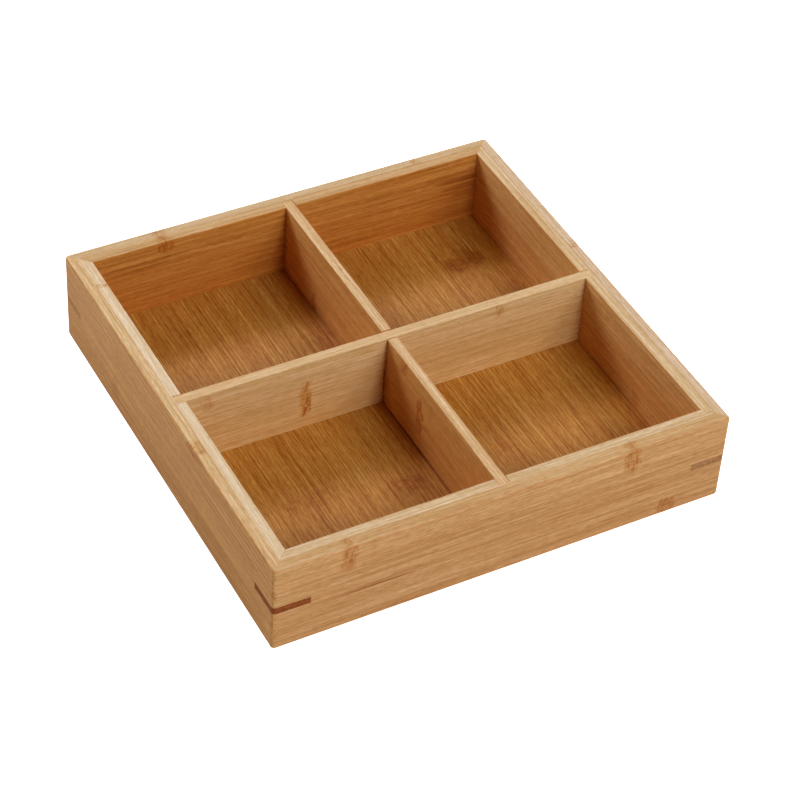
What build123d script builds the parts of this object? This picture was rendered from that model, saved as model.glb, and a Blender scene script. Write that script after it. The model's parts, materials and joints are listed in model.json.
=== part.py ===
from build123d import *
import math
import os

# A square bamboo tray with four compartments, in millimetres.
# The origin is the middle of the footprint on the table. X runs to the right, Y to the back, Z up.
# Mitred walls of two plies stand round a grooved-in bottom panel.
# A flat key crosses each corner, and two halved dividers drop into open-topped housings.

# Overall size, over the walls
TRAY_WIDTH = 240.0
TRAY_DEPTH = 240.0
TRAY_HEIGHT = 51.0

# Walls: thickness of each ply, and how far the arrises are eased
OUTER_PLY = 5.4
INNER_PLY = 5.4
CORNER_ROUND = 2.0
TOP_RIM_ROUND = 1.0
FOOT_RIM_ROUND = 1.5
INNER_RIM_ROUND = 0.5

# Bottom panel: it floats in a groove, which leaves GROOVE_COVER of the inner ply behind it
PANEL_THICKNESS = 5.4
PANEL_RAISE = 4.5
GROOVE_COVER = 1.4
PANEL_EDGE_PLAY = 0.5

# Corner keys: KEY_COVER of wood is left between a key's long edge and the corner inside
KEY_THICKNESS = 4.0
KEY_MIDDLE = 25.2
KEY_COVER = 1.85

# Dividers: their ends stand in housings, which leave HOUSING_COVER of the inner ply behind them
FRONT_BACK_THICKNESS = 5.4
LEFT_RIGHT_THICKNESS = 5.4
FRONT_BACK_PLACE = 0.0
LEFT_RIGHT_PLACE = 0.0
HOUSING_COVER = 0.6
DIVIDER_SIDE_PLAY = 0.15
DIVIDER_END_PLAY = 0.3
NOTCH_PLAY = 0.3
DIVIDER_ROUND = 0.5

# Sizes that follow from those above
WALL = OUTER_PLY + INNER_PLY
PANEL_TOP = PANEL_RAISE + PANEL_THICKNESS
DIVIDER_HEIGHT = TRAY_HEIGHT - PANEL_TOP
HALVING_LEVEL = PANEL_TOP + DIVIDER_HEIGHT / 2
GROOVE_INSET = OUTER_PLY + GROOVE_COVER
HOUSING_INSET = OUTER_PLY + HOUSING_COVER
KEY_LENGTH = 2 * WALL - math.sqrt(2) * KEY_COVER

# Each wall runs between two corners of the plan, given by their signs in X and Y
WALL_ENDS = {
    "front": ((-1, -1), (1, -1)),
    "right": ((1, -1), (1, 1)),
    "back": ((1, 1), (-1, 1)),
    "left": ((-1, 1), (-1, -1)),
}
CORNERS = {
    "front_left": (-1, -1),
    "front_right": (1, -1),
    "back_right": (1, 1),
    "back_left": (-1, 1),
}


def plan_corner(signs, inset):
    """A corner of the tray's plan, moved in from both outer faces by inset."""
    return (signs[0] * (TRAY_WIDTH / 2 - inset), signs[1] * (TRAY_DEPTH / 2 - inset))


def prism(outline, low, high):
    """An upright solid over a plan outline, between two heights."""
    plan = make_face(Polyline(*outline, close=True))
    return Pos(0, 0, low) * extrude(plan, high - low)


def upright_box(width, depth, low, high, x=0.0, y=0.0):
    """A box of that plan size about (x, y), between two heights."""
    stand = (Align.CENTER, Align.CENTER, Align.MIN)
    return Pos(x, y, low) * Box(width, depth, high - low, align=stand)


def eased_envelope():
    """The tray's outer form, with its upright corners and its outer rims eased."""
    block = upright_box(TRAY_WIDTH, TRAY_DEPTH, 0, TRAY_HEIGHT)
    block = fillet(block.edges().filter_by(Axis.Z), CORNER_ROUND)
    block = fillet(block.faces().sort_by(Axis.Z)[-1].edges(), TOP_RIM_ROUND)
    return fillet(block.faces().sort_by(Axis.Z)[0].edges(), FOOT_RIM_ROUND)


def mitred_ply(wall, outer_inset, inner_inset):
    """One ply of a wall, full height, with its ends cut to the mitres."""
    start, end = WALL_ENDS[wall]
    outline = [
        plan_corner(start, outer_inset),
        plan_corner(end, outer_inset),
        plan_corner(end, inner_inset),
        plan_corner(start, inner_inset),
    ]
    return prism(outline, 0, TRAY_HEIGHT)


def eased_inner_rim(ply):
    """The ply with the top and bottom arrises of its inside face eased."""
    inside = ply.faces().sort_by_distance((0, 0, TRAY_HEIGHT / 2))[0]
    return fillet(inside.edges().filter_by(Axis.Z, reverse=True), INNER_RIM_ROUND)


def corner_key(signs):
    """A flat three-cornered key that lies across one mitre, flush with both outer faces."""
    x, y = plan_corner(signs, 0)
    outline = [
        (x, y),
        (x - signs[0] * KEY_LENGTH, y),
        (x, y - signs[1] * KEY_LENGTH),
    ]
    half = KEY_THICKNESS / 2
    return prism(outline, KEY_MIDDLE - half, KEY_MIDDLE + half)


def panel_board(inset):
    """A board at the bottom panel's level that reaches to inset from the outer faces."""
    return upright_box(TRAY_WIDTH - 2 * inset, TRAY_DEPTH - 2 * inset, PANEL_RAISE, PANEL_TOP)


def front_back_board(end_inset, thickness):
    """An upright board from front to back, standing on the panel."""
    length = TRAY_DEPTH - 2 * end_inset
    return upright_box(thickness, length, PANEL_TOP, TRAY_HEIGHT, x=FRONT_BACK_PLACE)


def left_right_board(end_inset, thickness):
    """An upright board from left to right, standing on the panel."""
    length = TRAY_WIDTH - 2 * end_inset
    return upright_box(length, thickness, PANEL_TOP, TRAY_HEIGHT, y=LEFT_RIGHT_PLACE)


def crossing(low, high):
    """The space where the dividers pass through each other, between two heights."""
    width = FRONT_BACK_THICKNESS + 2 * DIVIDER_SIDE_PLAY
    depth = LEFT_RIGHT_THICKNESS + 2 * DIVIDER_SIDE_PLAY
    return upright_box(width, depth, low, high, x=FRONT_BACK_PLACE, y=LEFT_RIGHT_PLACE)


def eased_top(divider, run):
    """The divider with the two long arrises of its top eased."""
    top = divider.faces().sort_by(Axis.Z)[-1]
    return fillet(top.edges().filter_by(run), DIVIDER_ROUND)


def make_nodes():
    """Every piece of the tray by name, each in its place."""
    nodes = {}
    envelope = eased_envelope()
    kerfs = [corner_key(signs) for signs in CORNERS.values()]
    groove = panel_board(GROOVE_INSET)
    housings = [
        front_back_board(HOUSING_INSET, FRONT_BACK_THICKNESS + 2 * DIVIDER_SIDE_PLAY),
        left_right_board(HOUSING_INSET, LEFT_RIGHT_THICKNESS + 2 * DIVIDER_SIDE_PLAY),
    ]
    for wall in WALL_ENDS:
        outer = mitred_ply(wall, 0, OUTER_PLY) & envelope
        nodes[f"{wall}_wall_outer_ply"] = outer - kerfs
        inner = eased_inner_rim(mitred_ply(wall, OUTER_PLY, WALL))
        nodes[f"{wall}_wall_inner_ply"] = inner - [*kerfs, groove, *housings]
    for corner, signs in CORNERS.items():
        nodes[f"{corner}_corner_key"] = corner_key(signs) & envelope
    nodes["bottom_panel"] = panel_board(GROOVE_INSET + PANEL_EDGE_PLAY)

    end_inset = HOUSING_INSET + DIVIDER_END_PLAY
    lower = eased_top(front_back_board(end_inset, FRONT_BACK_THICKNESS), Axis.Y)
    upper = eased_top(left_right_board(end_inset, LEFT_RIGHT_THICKNESS), Axis.X)
    nodes["front_back_divider"] = lower - crossing(HALVING_LEVEL - NOTCH_PLAY / 2, TRAY_HEIGHT)
    nodes["left_right_divider"] = upper - crossing(PANEL_TOP, HALVING_LEVEL + NOTCH_PLAY / 2)
    return nodes


os.makedirs("parts", exist_ok=True)
for name, piece in make_nodes().items():
    export_step(piece, f"parts/{name}.step")
    print(f"{name}: {piece.volume:.0f} mm3")
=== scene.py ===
# %% [markdown]
# # A bamboo tray with four compartments
# The real tray is joiner's work: four mitred walls of two glued plies, a flat key across each corner, a
# bottom panel in a groove, and two dividers that are halved over each other and drop into housings in
# the walls. The frame holds every board at its true size and place. This lesson models each board again
# with softer arrises, clean seams and grain, and lets it stand for the board in the frame.

# %% Load the frame
import json
import math

import bpy
from mathutils import Matrix, Vector


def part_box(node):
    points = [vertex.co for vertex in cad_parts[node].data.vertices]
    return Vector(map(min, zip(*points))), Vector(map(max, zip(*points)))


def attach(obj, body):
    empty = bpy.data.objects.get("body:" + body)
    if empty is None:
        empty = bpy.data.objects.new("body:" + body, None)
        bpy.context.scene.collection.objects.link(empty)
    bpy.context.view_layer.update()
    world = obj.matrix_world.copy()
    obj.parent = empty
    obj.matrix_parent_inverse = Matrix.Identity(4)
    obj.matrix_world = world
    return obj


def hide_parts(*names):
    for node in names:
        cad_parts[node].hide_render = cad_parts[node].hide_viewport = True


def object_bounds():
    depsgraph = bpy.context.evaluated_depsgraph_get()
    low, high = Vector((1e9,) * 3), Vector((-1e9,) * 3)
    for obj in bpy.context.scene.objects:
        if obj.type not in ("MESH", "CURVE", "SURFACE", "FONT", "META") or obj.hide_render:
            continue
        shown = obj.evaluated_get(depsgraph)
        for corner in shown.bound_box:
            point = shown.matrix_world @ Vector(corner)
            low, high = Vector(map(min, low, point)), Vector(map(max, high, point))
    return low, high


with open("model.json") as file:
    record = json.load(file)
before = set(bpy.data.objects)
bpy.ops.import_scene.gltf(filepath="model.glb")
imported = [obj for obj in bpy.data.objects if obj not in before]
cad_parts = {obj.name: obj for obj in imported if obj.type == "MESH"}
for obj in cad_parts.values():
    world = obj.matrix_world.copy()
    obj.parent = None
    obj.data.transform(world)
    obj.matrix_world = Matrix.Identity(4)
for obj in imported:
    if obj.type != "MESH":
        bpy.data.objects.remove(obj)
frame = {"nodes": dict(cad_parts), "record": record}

tray_low, tray_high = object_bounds()
print("tray from", tuple(tray_low), "to", tuple(tray_high), "with", len(frame["nodes"]), "boards and keys")

# %% [markdown]
# ## Camera
# The picture was taken from the front left, looking down, with a long lens and a slight roll. A long
# lens stands far away, so the tray's edges stay nearly parallel. The camera could be pushed into place
# by eye, but a few numbers are easier to correct: the turn, rise, roll and distance were found by
# matching the tray's edges. Here they make one matrix: turn about the upright, tip down, step back,
# then roll.

# %% Camera
VIEW_TURN = math.radians(-30.39)
VIEW_RISE = math.radians(42.45)
VIEW_ROLL = math.radians(3.92)
VIEW_DISTANCE = 1.3085
LOOK_AT = Vector((0.0108, 0.00415, 0.0))
SENSOR_MM = 36.0
LENS_MM = 117.6

bpy.ops.object.select_all(action="DESELECT")
bpy.ops.object.camera_add()
camera = bpy.context.object
camera.data.sensor_width = SENSOR_MM
camera.data.lens = LENS_MM
aim = Matrix.Rotation(VIEW_TURN, 4, "Z") @ Matrix.Rotation(math.pi / 2 - VIEW_RISE, 4, "X")
camera.matrix_world = Matrix.Translation(LOOK_AT) @ aim @ Matrix.Translation((0, 0, VIEW_DISTANCE))
camera.matrix_world = camera.matrix_world @ Matrix.Rotation(VIEW_ROLL, 4, "Z")
bpy.context.scene.camera = camera
print("camera at", tuple(round(v, 3) for v in camera.matrix_world.translation))

# %% [markdown]
# ## Floor and light
# The tray stands on a plain white floor in soft light. A single lamp would throw hard shadows, so the
# light comes from six panels and a pale room. The broad panels keep the insides of the compartments
# deep and warm without hard edges, and the small lamp behind and the narrow panel in front make the
# shadow of each wall a little clearer. The floor glows to the camera alone, which keeps it white
# without lighting the tray from below. The Standard view is used because the wood's colours should come
# out as they are set.

# %% Floor
FLOOR_RADIUS = 8.0
FLOOR_DROP = 0.0002
FLOOR_SIDES = 96
WHITE = (1, 1, 1, 1)
PAPER_WHITE = (0.93, 0.93, 0.93, 1)
PAPER_DULLNESS = 0.9

bpy.ops.object.select_all(action="DESELECT")
bpy.ops.mesh.primitive_circle_add(
    vertices=FLOOR_SIDES, radius=FLOOR_RADIUS, fill_type="NGON", location=(0, 0, -FLOOR_DROP)
)
floor = bpy.context.object
floor.name = "studio_floor"
paper = bpy.data.materials.new("white light table")
paper.use_nodes = True
sheet = paper.node_tree.nodes["Principled BSDF"]
sheet.inputs["Base Color"].default_value = PAPER_WHITE
sheet.inputs["Roughness"].default_value = PAPER_DULLNESS
sheet.inputs["Emission Color"].default_value = WHITE
ray = paper.node_tree.nodes.new("ShaderNodeLightPath")
paper.node_tree.links.new(ray.outputs["Is Camera Ray"], sheet.inputs["Emission Strength"])
floor.data.materials.append(paper)
print("floor", FLOOR_RADIUS * 2, "m across")

# %% Light panels
PANEL_DISTANCE = 1.8

def softbox(name, toward, size, power):
    """A square light panel that hangs in the direction toward and faces the tray."""
    spot = Vector(toward).normalized() * PANEL_DISTANCE
    bpy.ops.object.select_all(action="DESELECT")
    bpy.ops.object.light_add(type="AREA", location=spot)
    panel = bpy.context.object
    panel.name = name
    panel.data.size = size
    panel.data.energy = power
    panel.rotation_euler = spot.to_track_quat("Z", "Y").to_euler()
    print(name, power, "W")


softbox("back_lamp", (-0.25, 0.73, 0.63), 0.25, 4.3)
softbox("back_panel", (-0.22, 0.80, 0.56), 0.8, 9.5)
softbox("left_panel", (-0.60, 0.60, 0.53), 0.8, 7.6)
softbox("front_panel", (0.10, -0.75, 0.65), 0.3, 10.2)
softbox("corner_panel", (0.45, -0.45, 0.77), 0.8, 10.2)
softbox("right_panel", (0.40, 0.64, 0.66), 0.6, 2.2)

# %% Pale room
ROOM_GLOW = 0.02
HORIZON_GLOW = 0.83
HORIZON_BAND = (0.04, 0.2)

room = bpy.data.worlds.new("pale room")
bpy.context.scene.world = room
room.use_nodes = True
nodes = room.node_tree.nodes
links = room.node_tree.links
upward = nodes.new("ShaderNodeSeparateXYZ")
links.new(nodes.new("ShaderNodeTexCoord").outputs["Generated"], upward.inputs[0])
fall = nodes.new("ShaderNodeMapRange")
fall.interpolation_type = "SMOOTHSTEP"
links.new(upward.outputs[2], fall.inputs["Value"])
fall.inputs["From Min"].default_value, fall.inputs["From Max"].default_value = HORIZON_BAND
fall.inputs["To Min"].default_value = HORIZON_GLOW
fall.inputs["To Max"].default_value = ROOM_GLOW
nodes["Background"].inputs["Color"].default_value = WHITE
links.new(fall.outputs[0], nodes["Background"].inputs["Strength"])
bpy.context.scene.view_settings.view_transform = "Standard"
print("room", ROOM_GLOW, "overhead and", HORIZON_GLOW, "at the horizon")

# %% [markdown]
# ## Making one board
# On the real tray each board is planed, sawn, jointed and eased. A mesh could be drawn point by point,
# but it is clearer to repeat the work of the bench on a cube of the board's own size and place. Three
# moves shape it: a saw cut, which is a bisect that closes the cut and drops the waste, an eased arris,
# which is a bevel on chosen edges, and a joint cut out of it with a Boolean. At the end every sharp
# edge is broken by a hair, so that two boards that meet show a fine line, and only the round arrises
# are shaded smooth.

# %% A box in its place
def add_box(name, low, high):
    """A box between two corners, with its place in its mesh."""
    bpy.ops.object.select_all(action="DESELECT")
    bpy.ops.mesh.primitive_cube_add(size=1, location=(low + high) / 2, scale=high - low)
    bpy.ops.object.transform_apply(location=True, rotation=True, scale=True)
    bpy.context.object.name = name
    return bpy.context.object


def work_on(piece):
    """Makes one piece the only selected and active one."""
    bpy.ops.object.select_all(action="DESELECT")
    piece.select_set(True)
    bpy.context.view_layer.objects.active = piece

# %% A saw cut
def saw(piece, through, waste):
    """Cuts a piece on the plane through a point and drops the side that waste points to."""
    work_on(piece)
    bpy.ops.object.mode_set(mode="EDIT")
    bpy.ops.mesh.select_all(action="SELECT")
    bpy.ops.mesh.bisect(plane_co=through, plane_no=waste, use_fill=True, clear_outer=True)
    bpy.ops.object.mode_set(mode="OBJECT")

# %% An eased arris
CLOSE = 1e-6

def ease(piece, radius, segments, chosen):
    """Rounds the edges of a piece whose two ends, start and end, are chosen."""
    work_on(piece)
    bpy.context.tool_settings.mesh_select_mode = (False, True, False)
    bpy.ops.object.mode_set(mode="EDIT")
    bpy.ops.mesh.select_all(action="DESELECT")
    bpy.ops.object.mode_set(mode="OBJECT")
    points = piece.data.vertices
    for edge in piece.data.edges:
        start, end = edge.vertices
        edge.select = chosen(points[start].co, points[end].co)
    bpy.ops.object.mode_set(mode="EDIT")
    bpy.ops.mesh.bevel(offset=radius, segments=segments, affect="EDGES")
    bpy.ops.object.mode_set(mode="OBJECT")


def at_height(height):
    """Chooses the edges that lie at one height."""
    return lambda start, end: abs(start.z - height) < CLOSE and abs(end.z - height) < CLOSE


def upright(start, end):
    """Chooses the edges that stand upright."""
    return abs(start.x - end.x) < CLOSE and abs(start.y - end.y) < CLOSE

# %% A joint cut out, and the last touch
HAIR = 0.00012
SANDED = 0.00003
SHARP = math.radians(40)

def cut_out(piece, cutters):
    """Takes the space of each cutter out of a piece."""
    work_on(piece)
    for cutter in cutters:
        joint = piece.modifiers.new("joint", "BOOLEAN")
        joint.operation = "DIFFERENCE"
        joint.solver = "EXACT"
        joint.object = cutter
        bpy.ops.object.modifier_apply(modifier=joint.name)


def finish_board(piece, hair=HAIR):
    """Breaks the sharp edges by a hair and shades only the round ones smooth."""
    work_on(piece)
    broken = piece.modifiers.new("broken edges", "BEVEL")
    broken.width = hair
    broken.segments = 1
    broken.limit_method = "ANGLE"
    broken.angle_limit = SHARP
    bpy.ops.object.modifier_apply(modifier=broken.name)
    bpy.ops.object.shade_smooth_by_angle(angle=SHARP)
    flat = piece.modifiers.new("flat faces", "WEIGHTED_NORMAL")
    flat.keep_sharp = True
    bpy.ops.object.modifier_apply(modifier=flat.name)
    print(piece.name, len(piece.data.polygons), "faces")

# %% [markdown]
# ## Walls
# The outer plies meet at the corners in mitres, and the whole outside was sanded after the glue had
# set, so the rounding runs over the joint. Each ply could be rounded by itself, but then the two halves
# of a corner might not meet. It is safer to work the same way round as the joiner: round one solid
# block of the tray's outside, then saw the front ply out of it. Each mitre then cuts the rounded corner
# in half.

# %% The sanded block
CORNER_ROUND = 0.002
TOP_ROUND = 0.0017
FOOT_ROUND = 0.0015
ROUND_SEGMENTS = 6

sanded_block = add_box("sanded_block", tray_low, tray_high)
ease(sanded_block, CORNER_ROUND, ROUND_SEGMENTS, upright)
ease(sanded_block, TOP_ROUND, ROUND_SEGMENTS, at_height(tray_high.z))
ease(sanded_block, FOOT_ROUND, ROUND_SEGMENTS, at_height(tray_low.z))
print("sanded block", len(sanded_block.data.polygons), "faces")


def from_block(name):
    """A copy of the sanded block to saw a piece out of."""
    work_on(sanded_block)
    bpy.ops.object.duplicate()
    bpy.context.object.name = name
    return bpy.context.object

# %% Front wall, outer ply
MM = 1000

glue_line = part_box("front_wall_outer_ply")[1].y

def mitre(piece):
    """Saws both ends of a front board to 45 degrees."""
    saw(piece, (tray_low.x, tray_low.y, 0), (-1, 1, 0))
    saw(piece, (tray_high.x, tray_low.y, 0), (1, 1, 0))


front_outer = from_block("front_outer_board")
saw(front_outer, (0, glue_line, 0), (0, 1, 0))
mitre(front_outer)
print("outer ply", round((glue_line - tray_low.y) * MM, 2), "mm thick")

# %% Front wall, inner ply
INNER_ROUND = 0.0005
FINE_SEGMENTS = 4

inner_low, inner_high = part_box("front_wall_inner_ply")
front_inner = add_box("front_inner_board", inner_low, inner_high)
mitre(front_inner)

def on_inner_face(start, end):
    """Chooses the level edges of the inner face."""
    return max(abs(start.y - inner_high.y), abs(end.y - inner_high.y)) < CLOSE and not upright(start, end)


ease(front_inner, INNER_ROUND, FINE_SEGMENTS, on_inner_face)
print("inner ply", round((inner_high.y - inner_low.y) * MM, 2), "mm thick")

# %% [markdown]
# ## Joints in the walls
# Three joints are cut into the walls: the groove that the panel floats in, the open-topped housings for
# the dividers' ends, and a thin kerf across each corner for its key. They could be pushed in face by
# face, but a Boolean cuts the same joint through two plies at once, as a saw does. Each cutter is a box
# a little longer than the joint on its open side, so that no two faces fall on the same plane where the
# Boolean has to decide.

# %% Groove and housing cutters
PANEL_PLAY = 0.0005
END_PLAY = 0.0001
SIDE_PLAY = 0.0001
OVERCUT = 0.004

panel_low, panel_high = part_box("bottom_panel")
panel_play = Vector((PANEL_PLAY, PANEL_PLAY, 0))
groove = add_box("groove_cutter", panel_low - panel_play, panel_high + panel_play)
divider_low, divider_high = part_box("front_back_divider")
divider_play = Vector((SIDE_PLAY, END_PLAY, 0))
above_rim = Vector((0, 0, OVERCUT))
housing = add_box("housing_cutter", divider_low - divider_play, divider_high + divider_play + above_rim)
print("housing", round(housing.dimensions.x * MM, 2), "mm wide")

# %% Kerf cutter
key_low, key_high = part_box("front_left_corner_key")
key_reach = key_high.x - key_low.x
kerf_half = Vector((key_reach, key_reach / 2, (key_high.z - key_low.z) / 2))
kerf = add_box("kerf_cutter", -kerf_half, kerf_half)
kerf.rotation_euler.z = math.radians(-45)
key_corner = Vector((key_low.x, key_low.y, (key_low.z + key_high.z) / 2))
corner_to_long_side = key_reach / math.sqrt(2)
inward = (corner_to_long_side - key_reach / 2) / math.sqrt(2)
kerf.location = key_corner + Vector((inward, inward, 0))
bpy.ops.object.transform_apply(location=True, rotation=True, scale=True)
print("key", round(key_reach * MM, 2), "mm along each face")

# %% Cut the joints
def turned_copy(piece, name, quarter_turns):
    """A copy of a piece with its own mesh, turned about the middle of the tray."""
    work_on(piece)
    bpy.ops.object.duplicate()
    copy = bpy.context.object
    copy.name = name
    copy.rotation_euler.z = quarter_turns * math.pi / 2
    bpy.ops.object.transform_apply(location=True, rotation=True, scale=True)
    return copy


right_kerf = turned_copy(kerf, "right_kerf_cutter", 1)
cut_out(front_outer, [kerf, right_kerf])
cut_out(front_inner, [kerf, right_kerf, groove, housing])
print("joints cut:", len(front_inner.data.polygons), "faces on the inner ply")

# %% Four walls
WALLS = ("front", "right", "back", "left")

finish_board(front_outer, SANDED)
finish_board(front_inner)
pieces = {"front_wall_outer_ply": front_outer, "front_wall_inner_ply": front_inner}
for turns, wall in enumerate(WALLS[1:], start=1):
    pieces[f"{wall}_wall_outer_ply"] = turned_copy(front_outer, f"{wall}_outer_board", turns)
    pieces[f"{wall}_wall_inner_ply"] = turned_copy(front_inner, f"{wall}_inner_board", turns)
print(len(pieces), "wall boards")

# %% [markdown]
# ## Corner keys
# A key is a thin three-cornered slip of darker wood, glued into the kerf and then sanded flush. It
# could be drawn as a plain wedge, but that would stand out of the rounded corner. So it too is sawn out
# of the sanded block: below, above and along the diagonal.

# %% Keys
CORNERS = ("front_left", "front_right", "back_right", "back_left")

front_left_key = from_block("front_left_key")
saw(front_left_key, (0, 0, key_low.z), (0, 0, -1))
saw(front_left_key, (0, 0, key_high.z), (0, 0, 1))
saw(front_left_key, (key_high.x, key_low.y, 0), (1, 1, 0))
finish_board(front_left_key, SANDED)
pieces["front_left_corner_key"] = front_left_key
for turns, corner in enumerate(CORNERS[1:], start=1):
    pieces[f"{corner}_corner_key"] = turned_copy(front_left_key, f"{corner}_key", turns)

# %% [markdown]
# ## Panel and dividers
# The panel is a plain board that floats in the groove. The dividers are thin boards with softened top
# arrises. Each has a notch half its height: the one from front to back from above, the other from
# below, so that the second drops over the first. The crossing could be made of four short boards, but
# the dividers lift out one by one, so each stays whole and its notch is cut out as a real joint.

# %% Panel
panel = add_box("panel_board", panel_low, panel_high)
finish_board(panel)
pieces["bottom_panel"] = panel

# %% Dividers
DIVIDER_ROUND = 0.0005

def divider(name, node):
    """A divider without its notch, its top arrises eased."""
    low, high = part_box(node)
    board = add_box(name, low, high)
    lengthways = 0 if high.x - low.x > high.y - low.y else 1
    on_top = at_height(high.z)
    ease(
        board, DIVIDER_ROUND, FINE_SEGMENTS,
        lambda start, end: on_top(start, end) and abs(start[lengthways] - end[lengthways]) > CLOSE,
    )
    pieces[node] = board
    return board


lower_divider = divider("front_back_board", "front_back_divider")
upper_divider = divider("left_right_board", "left_right_divider")

# %% Notches
NOTCH_PLAY = 0.0003
CROSS_PLAY = 0.0007

notch_side = (divider_high.x - divider_low.x) / 2 + CROSS_PLAY
halving = (divider_low.z + divider_high.z) / 2
top_notch = add_box(
    "top_notch_cutter",
    Vector((-notch_side, -notch_side, halving - NOTCH_PLAY / 2)),
    Vector((notch_side, notch_side, divider_high.z + OVERCUT)),
)
under_notch = add_box(
    "under_notch_cutter",
    Vector((-notch_side, -notch_side, divider_low.z - OVERCUT)),
    Vector((notch_side, notch_side, halving + NOTCH_PLAY / 2)),
)
cut_out(lower_divider, [top_notch])
cut_out(upper_divider, [under_notch])
finish_board(lower_divider)
finish_board(upper_divider)

# %% Put the cutters away
for tool in (sanded_block, groove, housing, kerf, right_kerf, top_notch, under_notch):
    bpy.data.objects.remove(tool)
print(len(pieces), "pieces modelled")

# %% [markdown]
# ## Grain
# Bamboo is split into flat strips, planed and glued side by side, so a board shows straight fibres
# along its length, a faint seam where two strips meet, and here and there a knuckle, the ring where a
# joint of the cane was. All of that could be painted, but a procedural pattern through the solid is
# better here: the same streaks then run over an arris, and come out as dots on a sawn end. The pattern
# is laid along X and turned to suit each board.

# %% A sheet to sketch a material on
class Sketch:
    """A material's node tree, with short ways to add the nodes that wood needs."""

    def __init__(self, name, turn, seed):
        self.material = bpy.data.materials.new(name)
        self.material.use_nodes = True
        self.tree = self.material.node_tree
        self.shader = self.tree.nodes["Principled BSDF"]
        self.seed = seed
        point = self.add("ShaderNodeTexCoord", {})
        self.normal = point.outputs["Normal"]
        turned = self.add("ShaderNodeMapping", {"Vector": point.outputs["Object"], "Rotation": turn})
        self.place = turned.outputs[0]

    def feed(self, socket, value):
        """Links a socket to an output, or sets its value."""
        if isinstance(value, bpy.types.NodeSocket):
            self.tree.links.new(value, socket)
        else:
            socket.default_value = value

    def add(self, kind, inputs, **settings):
        """Adds a node with its settings and feeds its sockets."""
        node = self.tree.nodes.new(kind)
        for name, value in settings.items():
            setattr(node, name, value)
        for socket, value in inputs.items():
            self.feed(node.inputs[socket], value)
        return node

    def split(self, vector):
        """The three parts of a vector."""
        return self.add("ShaderNodeSeparateXYZ", {0: vector}).outputs

    def sum(self, operation, *values):
        """One step of arithmetic on numbers or outputs."""
        return self.add("ShaderNodeMath", dict(enumerate(values)), operation=operation).outputs[0]

    def step(self, value, start, stop, low=0.0, high=1.0):
        """Goes smoothly from low at start to high at stop."""
        inputs = {"Value": value, "From Min": start, "From Max": stop, "To Min": low, "To Max": high}
        return self.add("ShaderNodeMapRange", inputs, interpolation_type="SMOOTHSTEP").outputs[0]

    def mix(self, share, under, over, blend="MIX"):
        """Lays one colour over another; sockets 6 and 7 are the two colours, and output 2 the result."""
        inputs = {0: share, 6: under, 7: over}
        return self.add("ShaderNodeMix", inputs, data_type="RGBA", blend_type=blend).outputs[2]

    def tinted(self, wood, where, strength, tone):
        """Multiplies wood by a tone, there and so strongly."""
        return self.mix(self.sum("MULTIPLY", where, strength), wood, (*tone, 1), "MULTIPLY")

# %% Streaks
STREAKS = {
    "band": (0, 0.25, 0.008),
    "line": (1, 0.10, 0.0022),
    "fibre": (2, 0.020, 0.0008),
    "hue": (3, 0.18, 0.006),
    "ragged": (4, 0.005, 0.004),
    "stroke": (5, 0.0013, 0.005),
    "pore": (6, 0.004, 0.0005),
    "fleck": (7, 0.004, 0.0006),
    "key line": (0, 0.012, 0.0009),
    "key pore": (1, 0.002, 0.0003),
}
SOFT_DETAIL = 2.0
PORE_DETAIL = 1.0
NOISE_MIDDLE = 0.5

def streaks(sketch, kind, fineness=1.0, detail=SOFT_DETAIL):
    """Noise from 0 to 1, drawn out along X. Each kind has its own seed, length and width in metres."""
    own_seed, length, width = STREAKS[kind]
    size = (1 / length, fineness / width, fineness / width)
    drawn_out = sketch.add("ShaderNodeMapping", {"Vector": sketch.place, "Scale": size})
    inputs = {"Vector": drawn_out.outputs[0], "W": sketch.seed + own_seed, "Scale": 1.0, "Detail": detail}
    return sketch.add("ShaderNodeTexNoise", inputs, noise_dimensions="4D").outputs[0]

# %% Grain
GRAIN_WEIGHTS = {"band": 0.13, "line": 0.42, "fibre": 0.44, "fleck": 0.32}
GRAIN_HUE = (1.0, 1.8, 3.2)
RAMP_MIDDLE = 0.5
RAMP_STOPS = (0.25, 0.5, 0.75)
RAMP_SWING = 0.5

def grain(sketch, contrast, fineness):
    """Streaks as a colour to multiply the wood by, and the lines and the fibres by themselves."""
    parts = {}
    level = 0.0
    for kind, weight in GRAIN_WEIGHTS.items():
        parts[kind] = streaks(sketch, kind, 1.0 if kind == "fleck" else fineness)
        swing = sketch.sum("SUBTRACT", parts[kind], NOISE_MIDDLE)
        level = sketch.sum("MULTIPLY_ADD", swing, weight, level)
    level = sketch.sum("MULTIPLY_ADD", level, contrast, RAMP_MIDDLE)
    shade = sketch.add("ShaderNodeValToRGB", {0: level})
    ramp = shade.color_ramp.elements
    for stop in RAMP_STOPS:
        ramp.new(stop)
    for element in ramp:
        light = 1 + RAMP_SWING * (2 * element.position - 1)
        element.color = (*(light ** power for power in GRAIN_HUE), 1)
    return shade.outputs[0], parts["line"], parts["fibre"]

# %% Strips
STRIP = 0.016
STRIP_START = 0.0043
SEAM = 0.0005
SEAM_LINES = (0.42, 0.60)
PALE_STRIP = (1.02, 1.03, 1.05, 1)
DARK_STRIP = (0.97, 0.95, 0.93, 1)

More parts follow.
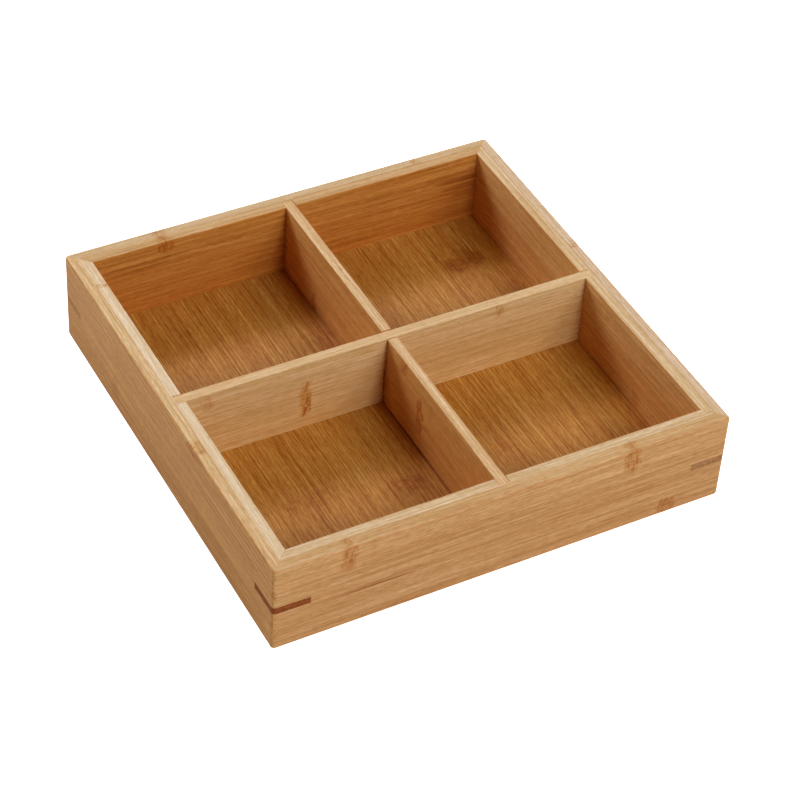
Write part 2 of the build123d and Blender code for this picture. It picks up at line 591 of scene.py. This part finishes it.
def strips(sketch, across, lines):
    """A slightly different tint for each strip, and how dark the seam beside it is."""
    count = sketch.sum("DIVIDE", sketch.sum("SUBTRACT", across, STRIP_START), STRIP)
    which = sketch.add("ShaderNodeCombineXYZ", {0: sketch.sum("FLOOR", count), 1: sketch.seed})
    chance = sketch.add("ShaderNodeTexWhiteNoise", {"Vector": which.outputs[0]}, noise_dimensions="2D")
    tint = sketch.mix(chance.outputs[0], PALE_STRIP, DARK_STRIP)
    away = sketch.sum("MULTIPLY", sketch.sum("PINGPONG", count, 0.5), STRIP)
    seam = sketch.step(away, 0.0, SEAM, 1.0, 0.0)
    return tint, sketch.sum("MULTIPLY", seam, sketch.step(lines, *SEAM_LINES))

# %% [markdown]
# ## Marks in the wood
# Knuckles show as ragged patches with short dark strokes across the fibres, and stains are drawn out
# along the grain. Both could be scattered by chance, but on a real board the eye knows them by their
# place, so each one is put down at its own listed place. The three long thin stains on the panel draw
# the dark gap at the foot of a divider and of the right wall. Shade is also painted into the colour
# where boards meet, deeper and redder: an inner face towards its foot, and the panel along the sides of
# each cell. The lights alone would leave those corners too dull, so the colour itself is deepened near
# a corner line as painted shade.

# %% Where a mark lies
MARK_EDGE = (0.25, 1.3)
ALONG_POWER = 2.0
ACROSS_POWER = 4.0

def inside(sketch, along, across, marks):
    """How deep each point lies in a mark: its middle, level, length and height in mm, and its depth."""
    shape = 0.0
    for middle, level, length, height, depth in marks:
        lengthways = sketch.sum("MULTIPLY_ADD", along, 2 * MM / length, -2 * middle / length)
        sideways = sketch.sum("MULTIPLY_ADD", across, 2 * MM / height, -2 * level / height)
        lengthways = sketch.sum("POWER", lengthways, ALONG_POWER)
        sideways = sketch.sum("POWER", sideways, ACROSS_POWER)
        away = sketch.sum("ADD", lengthways, sideways)
        shape = sketch.sum("MAXIMUM", shape, sketch.step(away, *MARK_EDGE, depth, 0.0))
    return shape


def pushed(sketch, along, noise, reach):
    """A place along the board, pushed to and fro by noise."""
    return sketch.sum("MULTIPLY_ADD", sketch.sum("SUBTRACT", noise, NOISE_MIDDLE), reach, along)

# %% Stains and knuckles
STAIN_PUSH = 0.03
STAIN_TINT = (0.7, (0.58, 0.37, 0.22))
KNUCKLE_PUSH = 0.008
KNUCKLE_TINT = (0.7, (0.86, 0.68, 0.44))
STROKE_NOISE = (0.47, 0.62)
STROKE_TINT = (0.7, (0.68, 0.42, 0.24))

def stained(sketch, wood, along, across, lines, stains):
    """Wood with its stains, drawn out along the lines of the grain."""
    stain = inside(sketch, pushed(sketch, along, lines, STAIN_PUSH), across, stains)
    return sketch.tinted(wood, stain, *STAIN_TINT)


def knuckled(sketch, wood, along, across, ragged, knuckles):
    """Wood with its knuckles: ragged patches with dark strokes across the fibres."""
    patch = inside(sketch, pushed(sketch, along, ragged, KNUCKLE_PUSH), across, knuckles)
    wood = sketch.tinted(wood, patch, *KNUCKLE_TINT)
    strokes = sketch.step(streaks(sketch, "stroke"), *STROKE_NOISE)
    return sketch.tinted(wood, sketch.sum("MULTIPLY", strokes, patch), *STROKE_TINT)

# %% Painted shade in the corners
PAINTED_SHADE_FROM = 0.002

def painted_corner_shade(sketch, wood, across, tone, reach, corners):
    """Wood deepened by a tone towards the corner lines as painted shade; the lines lie at these places
    across the board.
    """
    near = reach
    for corner in corners:
        away = sketch.sum("ABSOLUTE", sketch.sum("SUBTRACT", across, corner))
        near = sketch.sum("MINIMUM", near, away)
    return sketch.mix(sketch.step(near, PAINTED_SHADE_FROM, reach, 1.0, 0.0), wood, (*tone, 1), "MULTIPLY")

# %% [markdown]
# ## Satin coat and sheen
# The tray has a thin satin coat. Planed bamboo shines across its fibres: each fibre is a tiny round
# rod, so light from behind is thrown into a band at right angles to the grain. A highlight could be
# painted on, but it would stay where it is when the view turns. The shader has the sheen built in as an
# uneven gloss, once it knows which way the fibres run. The direction is tipped by a hair, so that it is
# never square to a sawn end.

# %% Satin coat
DULLNESS = 0.32
FIBRE_DULLNESS = 0.25
WORN_DULLNESS = 0.15
PORE_DEPTH = 0.5
RELIEF = {"Strength": 0.06, "Distance": 0.0002}
COAT_SHARE = 0.15
COAT_DULLNESS = 0.3

def coat(sketch, fibres, pores, worn, gloss):
    """A satin coat, duller on fibres and worn arrises, over a fine relief of fibres and pores."""
    dullness = sketch.sum("MULTIPLY_ADD", fibres, FIBRE_DULLNESS, DULLNESS)
    dullness = sketch.sum("MULTIPLY_ADD", worn, WORN_DULLNESS, dullness)
    sketch.feed(sketch.shader.inputs["Roughness"], dullness)
    height = sketch.sum("SUBTRACT", fibres, sketch.sum("MULTIPLY", pores, PORE_DEPTH))
    bump = sketch.add("ShaderNodeBump", {"Height": height, **RELIEF})
    sketch.feed(sketch.shader.inputs["Normal"], bump.outputs[0])
    sketch.shader.inputs["Specular IOR Level"].default_value = gloss
    sketch.shader.inputs["Coat Weight"].default_value = gloss * COAT_SHARE
    sketch.shader.inputs["Coat Roughness"].default_value = COAT_DULLNESS

# %% Fibre sheen
SHEEN = 0.7
QUARTER_TURN = 0.25

def lay_fibres(sketch, direction):
    """Stretches the gloss at right angles to the fibres, which run in that direction."""
    inputs = {"Vector": direction}
    settings = {"vector_type": "VECTOR", "convert_from": "OBJECT", "convert_to": "WORLD"}
    fibres = sketch.add("ShaderNodeVectorTransform", inputs, **settings).outputs[0]
    sketch.feed(sketch.shader.inputs["Tangent"], fibres)
    sketch.shader.inputs["Anisotropic"].default_value = SHEEN
    sketch.shader.inputs["Anisotropic Rotation"].default_value = QUARTER_TURN

# %% [markdown]
# ## A finish for every board
# No two boards come from the same cane. One material for all of them would repeat its streaks from wall
# to wall, so one recipe is used again for each board. Each has its own seed, so its streaks fall
# differently, and its own tone: the tops of the inner plies are pale, the inside of the back wall is
# more orange, and the panel is the darkest. Knuckles and stains are given in millimetres along and up
# each board, or across it for the panel, and the painted corner shade by its tone, its reach and the
# lines that it deepens towards.

# %% Bamboo
FLAT = (0.60, 0.95)
ARRIS = (0.90, 0.985)
HUE_NOISE = (0.35, 0.65)
WARM = (1.01, 0.995, 0.98, 1)
COOL = (0.99, 1.005, 0.99, 1)
SEAM_TINT = (0.3, (0.60, 0.45, 0.32))
PORE_NOISE = (0.56, 0.74)
PORE_TINT = (0.5, (0.72, 0.58, 0.44))
WORN_NOISE = (0.3, 0.6)
WORN_TINT = (0.5, (1.16, 1.24, 1.36))

def bamboo(name, turn, seed, face, edge, knuckles, stains, contrast, fineness, gloss, smooth_top, painted_shade):
    """Planed bamboo under a thin satin coat: face and edge are its colours on the side and on the top."""
    sketch = Sketch(name, turn, seed)
    along, _, across = sketch.split(sketch.place)
    sides = [sketch.sum("ABSOLUTE", side) for side in sketch.split(sketch.normal)]
    on_top = sketch.step(sides[2], *FLAT)
    wood = sketch.mix(on_top, (*face, 1), (*edge, 1))
    # Painted shade: the colour is deepened towards the corner lines, where shade falls.
    if painted_shade:
        wood = painted_corner_shade(sketch, wood, across, *painted_shade)

    shade, lines, fibres = grain(sketch, contrast, fineness)
    wood = sketch.mix(sketch.sum("MULTIPLY_ADD", on_top, -smooth_top, 1.0), wood, shade, "MULTIPLY")
    hue = sketch.step(streaks(sketch, "hue"), *HUE_NOISE)
    wood = sketch.mix(1.0, wood, sketch.mix(hue, WARM, COOL), "MULTIPLY")
    tint, seam = strips(sketch, across, lines)
    wood = sketch.mix(1.0, wood, tint, "MULTIPLY")
    wood = sketch.tinted(wood, seam, *SEAM_TINT)

    ragged = streaks(sketch, "ragged")
    wood = stained(sketch, wood, along, across, lines, stains)
    wood = knuckled(sketch, wood, along, across, ragged, knuckles)
    pores = sketch.step(streaks(sketch, "pore", detail=PORE_DETAIL), *PORE_NOISE)
    wood = sketch.tinted(wood, pores, *PORE_TINT)
    broad = sketch.sum("MAXIMUM", sketch.sum("MAXIMUM", sides[0], sides[1]), sides[2])
    worn = sketch.sum("MULTIPLY", sketch.step(broad, *ARRIS, 1.0, 0.0), sketch.step(ragged, *WORN_NOISE))
    wood = sketch.tinted(wood, worn, *WORN_TINT)
    sketch.feed(sketch.shader.inputs["Base Color"], wood)
    coat(sketch, fibres, pores, worn, gloss)
    return sketch

# %% Tones and marks
ALONG_X = (0, 0, 0)
ALONG_Y = (0, 0, -math.pi / 2)
FLAT_ALONG_Y = Matrix(((0, 1, 0), (0, 0, 1), (1, 0, 0))).to_euler()
FOOT = (panel_high.z,)
CELL_SIDES = (inner_high.y, divider_low.x, divider_high.x, -inner_high.y)
# How far the painted corner shade reaches up an inner face, and across the panel from a cell's side.
PAINTED_SHADE_REACH = 0.038
PANEL_PAINTED_SHADE_REACH = 0.015

# A board's last entry, where given, is painted shade: a tone, its reach and the corner lines it deepens
# towards.
BOARDS = {
    "front_wall_outer_ply": {
        "turn": ALONG_X, "face": (0.64, 0.33, 0.12), "edge": (0.65, 0.38, 0.16),
        "knuckles": [(-82.5, 44, 8, 16, 1.0), (66, 44, 9, 16, 1.0), (89, 5, 10, 12, 0.9)],
        "stains": [(-66, 20.4, 46, 0.9, 1.4), (66, 9, 34, 0.8, 0.8), (-4, 36.3, 140, 0.6, 0.6)],
    },
    "front_wall_inner_ply": {
        "turn": ALONG_X, "face": (0.66, 0.31, 0.09), "edge": (0.71, 0.475, 0.25),
        "knuckles": [(30, 29, 7, 16, 1.0)], "smooth_top": 0.1,
        "painted_shade": ((0.92, 0.84, 0.73), PAINTED_SHADE_REACH, FOOT),
    },
    "right_wall_outer_ply": {
        "turn": ALONG_Y, "face": (0.67, 0.35, 0.13), "edge": (0.76, 0.53, 0.33),
        "knuckles": [(22, 44, 8, 16, 1.0), (-72, 12, 9, 16, 1.0)],
    },
    "right_wall_inner_ply": {
        "turn": ALONG_Y, "face": (0.72, 0.39, 0.13), "edge": (0.76, 0.51, 0.27),
        "knuckles": [(-58, 12, 8, 16, 0.6)], "fineness": 1.8,
        "painted_shade": ((0.94, 0.82, 0.66), PAINTED_SHADE_REACH, FOOT),
    },
    "back_wall_outer_ply": {
        "turn": ALONG_X, "face": (0.67, 0.35, 0.13), "edge": (0.71, 0.48, 0.26),
        "knuckles": [(-42, 28, 8, 16, 1.0), (76, 44, 8, 16, 1.0), (-70, 49, 10, 5, 0.8)],
        "smooth_top": 0.5,
    },
    "back_wall_inner_ply": {
        "turn": ALONG_X, "face": (0.64, 0.27, 0.05), "edge": (0.66, 0.39, 0.17),
        "knuckles": [(-70, 48, 10, 8, 1.0)],
        "stains": [
            (100, 37, 32, 3.5, 1.2), (103, 32, 26, 3.5, 1.2), (94, 41, 40, 2, 0.7), (104, 27, 16, 3, 0.9),
            (98, 28, 36, 34, 0.3), (-86, 40.5, 50, 2.4, 0.45), (-80, 37, 62, 2.6, 0.5),
            (-92, 33.5, 36, 1.6, 0.3), (0, 22.4, 260, 0.8, 0.5),
        ],
        "painted_shade": ((0.84, 0.68, 0.46), PAINTED_SHADE_REACH, FOOT),
    },
    "left_wall_outer_ply": {
        "turn": ALONG_Y, "face": (0.58, 0.26, 0.06), "edge": (0.74, 0.47, 0.22),
        "knuckles": [(-34, 49, 14, 6, 1.0), (58, 12, 8, 16, 0.4)], "contrast": 1.9,
    },
    "left_wall_inner_ply": {
        "turn": ALONG_Y, "face": (0.66, 0.31, 0.09), "edge": (0.83, 0.61, 0.38),
        "knuckles": [(91, 49, 4, 6, 0.8), (52, 25, 7, 16, 1.0)], "smooth_top": 0.4,
        "painted_shade": ((0.92, 0.84, 0.73), PAINTED_SHADE_REACH, FOOT),
    },
    "front_back_divider": {
        "turn": ALONG_Y, "face": (0.73, 0.36, 0.10), "edge": (0.75, 0.47, 0.23),
        "knuckles": [(75, 14, 6, 12, 1.0), (-38, 30, 6, 22, 1.2), (-21, 47, 9, 8, 0.9)],
        "contrast": 1.5, "fineness": 1.8, "smooth_top": 0.0,
        "painted_shade": ((0.98, 0.92, 0.84), PAINTED_SHADE_REACH, FOOT),
    },
    "left_right_divider": {
        "turn": ALONG_X, "face": (0.82, 0.55, 0.25), "edge": (0.80, 0.53, 0.28),
        "knuckles": [(-46, 28, 6, 24, 1.4), (-98, 45, 7, 10, 0.5), (60, 47, 6, 8, 0.6)],
        "contrast": 1.1, "fineness": 1.6, "smooth_top": 0.0,
        "painted_shade": ((0.90, 0.81, 0.68), PAINTED_SHADE_REACH, FOOT),
    },
    "bottom_panel": {
        "turn": FLAT_ALONG_Y, "face": (0.49, 0.20, 0.03), "edge": (0.49, 0.20, 0.03),
        "knuckles": [
            (75, 82, 13, 12, 0.9), (76, 93, 12, 10, 0.8), (-60, -18, 14, 18, 0.75), (-50, -68, 10, 26, 0.5),
            (-55, 31, 10, 20, 0.35),
        ],
        "stains": [
            (-52, -3.1, 96, 1.0, 1.4), (-52, 108.8, 96, 1.0, 0.8), (55, -3.1, 100, 1.0, 0.6),
            (-58, -15, 20, 16, 0.5), (-61, -27, 14, 13, 0.3), (78, 91, 18, 15, 0.7), (75, 79, 13, 10, 0.4),
        ],
        "contrast": 2.7, "fineness": 3.2, "gloss": 0.25, "smooth_top": 0.0,
        "painted_shade": ((1.0, 0.87, 0.58), PANEL_PAINTED_SHADE_REACH, CELL_SIDES),
    },
}

# %% Dress the boards
COMMON = {"stains": [], "contrast": 1.6, "fineness": 1.3, "gloss": 0.2, "smooth_top": 0.25, "painted_shade": None}
SEED_STEP = 10.0
TIP = 0.02

for count, (node, own) in enumerate(BOARDS.items()):
    finish = {**COMMON, **own}
    sketch = bamboo(f"bamboo of the {node}", seed=count * SEED_STEP, **finish)
    lengthways = (1.0, TIP, TIP) if finish["turn"] == ALONG_X else (TIP, 1.0, TIP)
    lay_fibres(sketch, lengthways)
    pieces[node].data.materials.clear()
    pieces[node].data.materials.append(sketch.material)
print(len(BOARDS), "bamboo finishes")

# %% [markdown]
# ## Key wood
# The keys are slips of a darker, redder hardwood with short open pores, and their grain lies across the
# corner. They could share one dark colour, but two of them are much paler than the one at the front
# left, so each key has its own tone.

# %% Keys
KEY_TONES = {
    "front_left": (0.29, 0.075, 0.018),
    "front_right": (0.43, 0.21, 0.085),
    "back_right": (0.30, 0.10, 0.035),
    "back_left": (0.47, 0.225, 0.085),
}
KEY_SWING = 0.25
KEY_LINES = (0.3, 0.7)
KEY_PORE_NOISE = (0.58, 0.72)
KEY_PORE_TINT = (0.5, (0.5, 0.4, 0.35))
KEY_DULLNESS = 0.45
KEY_LINE_DULLNESS = 0.2
KEY_RELIEF = {"Strength": -0.2, "Distance": 0.0002}
KEY_GLOSS = 0.05
KEY_SEED_STEP = 5.0

def key_wood(name, turn, seed, tone):
    """Dark hardwood with fine pores, sanded flush with the wall."""
    sketch = Sketch(name, (0, 0, turn), seed)
    lines = streaks(sketch, "key line")
    dark = [channel * (1 - KEY_SWING) for channel in tone]
    light = [channel * (1 + KEY_SWING) for channel in tone]
    wood = sketch.mix(sketch.step(lines, *KEY_LINES), (*dark, 1), (*light, 1))
    pores = sketch.step(streaks(sketch, "key pore", detail=PORE_DETAIL), *KEY_PORE_NOISE)
    wood = sketch.tinted(wood, pores, *KEY_PORE_TINT)
    sketch.feed(sketch.shader.inputs["Base Color"], wood)
    dullness = sketch.sum("MULTIPLY_ADD", lines, KEY_LINE_DULLNESS, KEY_DULLNESS)
    sketch.feed(sketch.shader.inputs["Roughness"], dullness)
    bump = sketch.add("ShaderNodeBump", {"Height": pores, **KEY_RELIEF})
    sketch.feed(sketch.shader.inputs["Normal"], bump.outputs[0])
    sketch.shader.inputs["Specular IOR Level"].default_value = KEY_GLOSS
    return sketch.material


for turns, corner in enumerate(CORNERS):
    key = pieces[f"{corner}_corner_key"]
    turn = math.radians(45 - 90 * turns)
    finish = key_wood(f"key wood {corner}", turn, turns * KEY_SEED_STEP, KEY_TONES[corner])
    key.data.materials.clear()
    key.data.materials.append(finish)
print(len(CORNERS), "key finishes")

# %% [markdown]
# ## Each piece stands for its board in the frame
# A divider lifts out of the tray, so each piece has to know what it moves with. That could be typed out
# board by board, but the record already says it: a piece rides on the body of the board that it stands
# for, and that board is hidden.

# %% Ride and replace
record = frame["record"]
bodies = {node: body for body, nodes in record["behaviour"]["bodies"].items() for node in nodes}
for node, piece in pieces.items():
    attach(piece, bodies[node])
    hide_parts(node)
